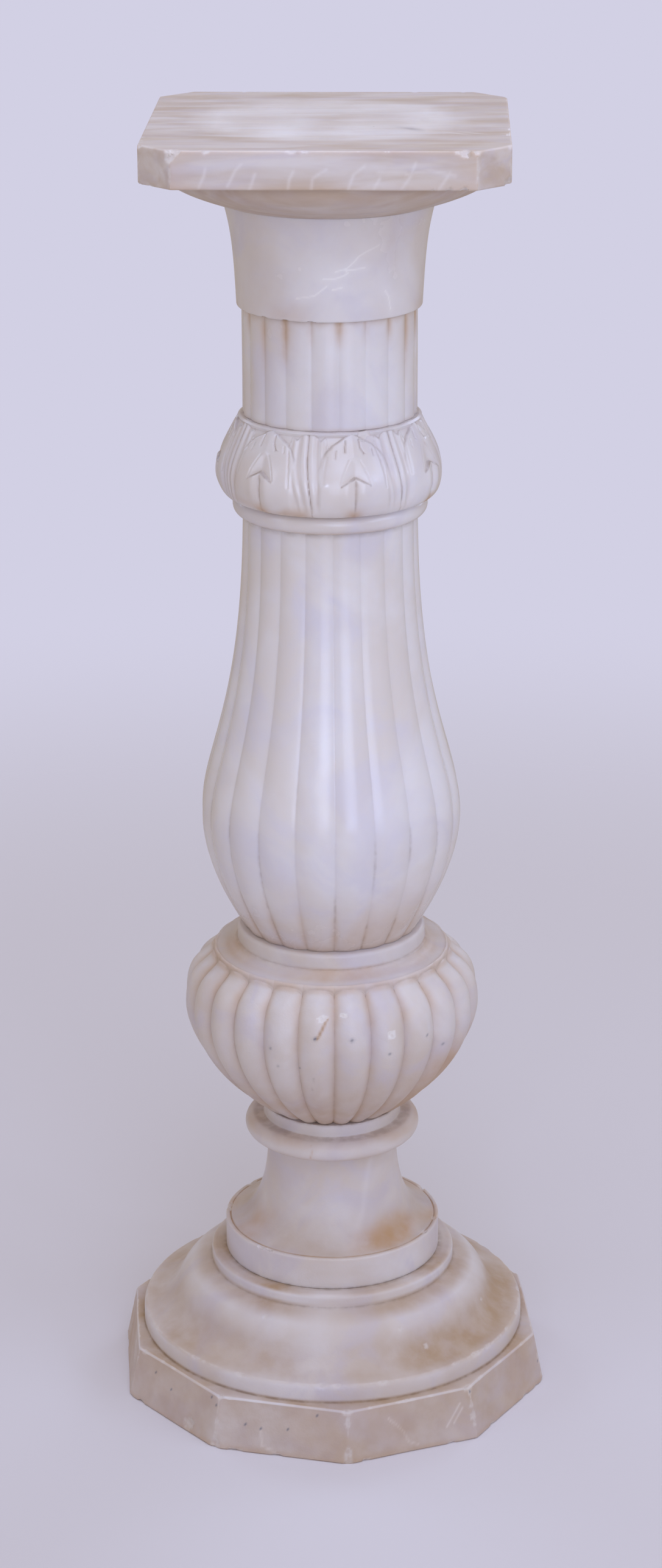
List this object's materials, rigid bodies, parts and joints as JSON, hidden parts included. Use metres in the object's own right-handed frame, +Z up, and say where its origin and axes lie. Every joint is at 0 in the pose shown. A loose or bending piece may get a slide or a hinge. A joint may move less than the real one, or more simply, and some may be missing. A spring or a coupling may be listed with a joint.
{
  "type": "alabaster pedestal column",
  "caption": "Carved alabaster pedestal: square top, bell and reeded neck, leaf collar, reeded pear shaft, gadrooned bowl, turned stem and polygonal plinth. Holds a vase or bust.",
  "frame": {"origin": "on the floor at the column's axis, in the middle of the plinth's underside", "axes": "+Z up along the column's axis, the front faces -Y, +X to the right seen from the front"},
  "size_m": [0.3576, 0.3678, 1.06],
  "materials": {
    "worn_alabaster": "alabaster with the polish worn off, dust and tan dirt in the hollows",
    "polished_alabaster": "polished alabaster, slightly translucent, tan dirt in the grooves",
    "veined_alabaster": "veined alabaster, honed, with chipped edges"
  },
  "bodies": {
    "root": {"moulded_base": "worn_alabaster", "turned_stem": "worn_alabaster", "gadrooned_bowl": "worn_alabaster", "pear_shaft": "polished_alabaster", "leaf_collar": "polished_alabaster", "reeded_neck": "polished_alabaster", "capital_bell": "polished_alabaster", "top_slab": "veined_alabaster"}
  },
  "joints": []
}
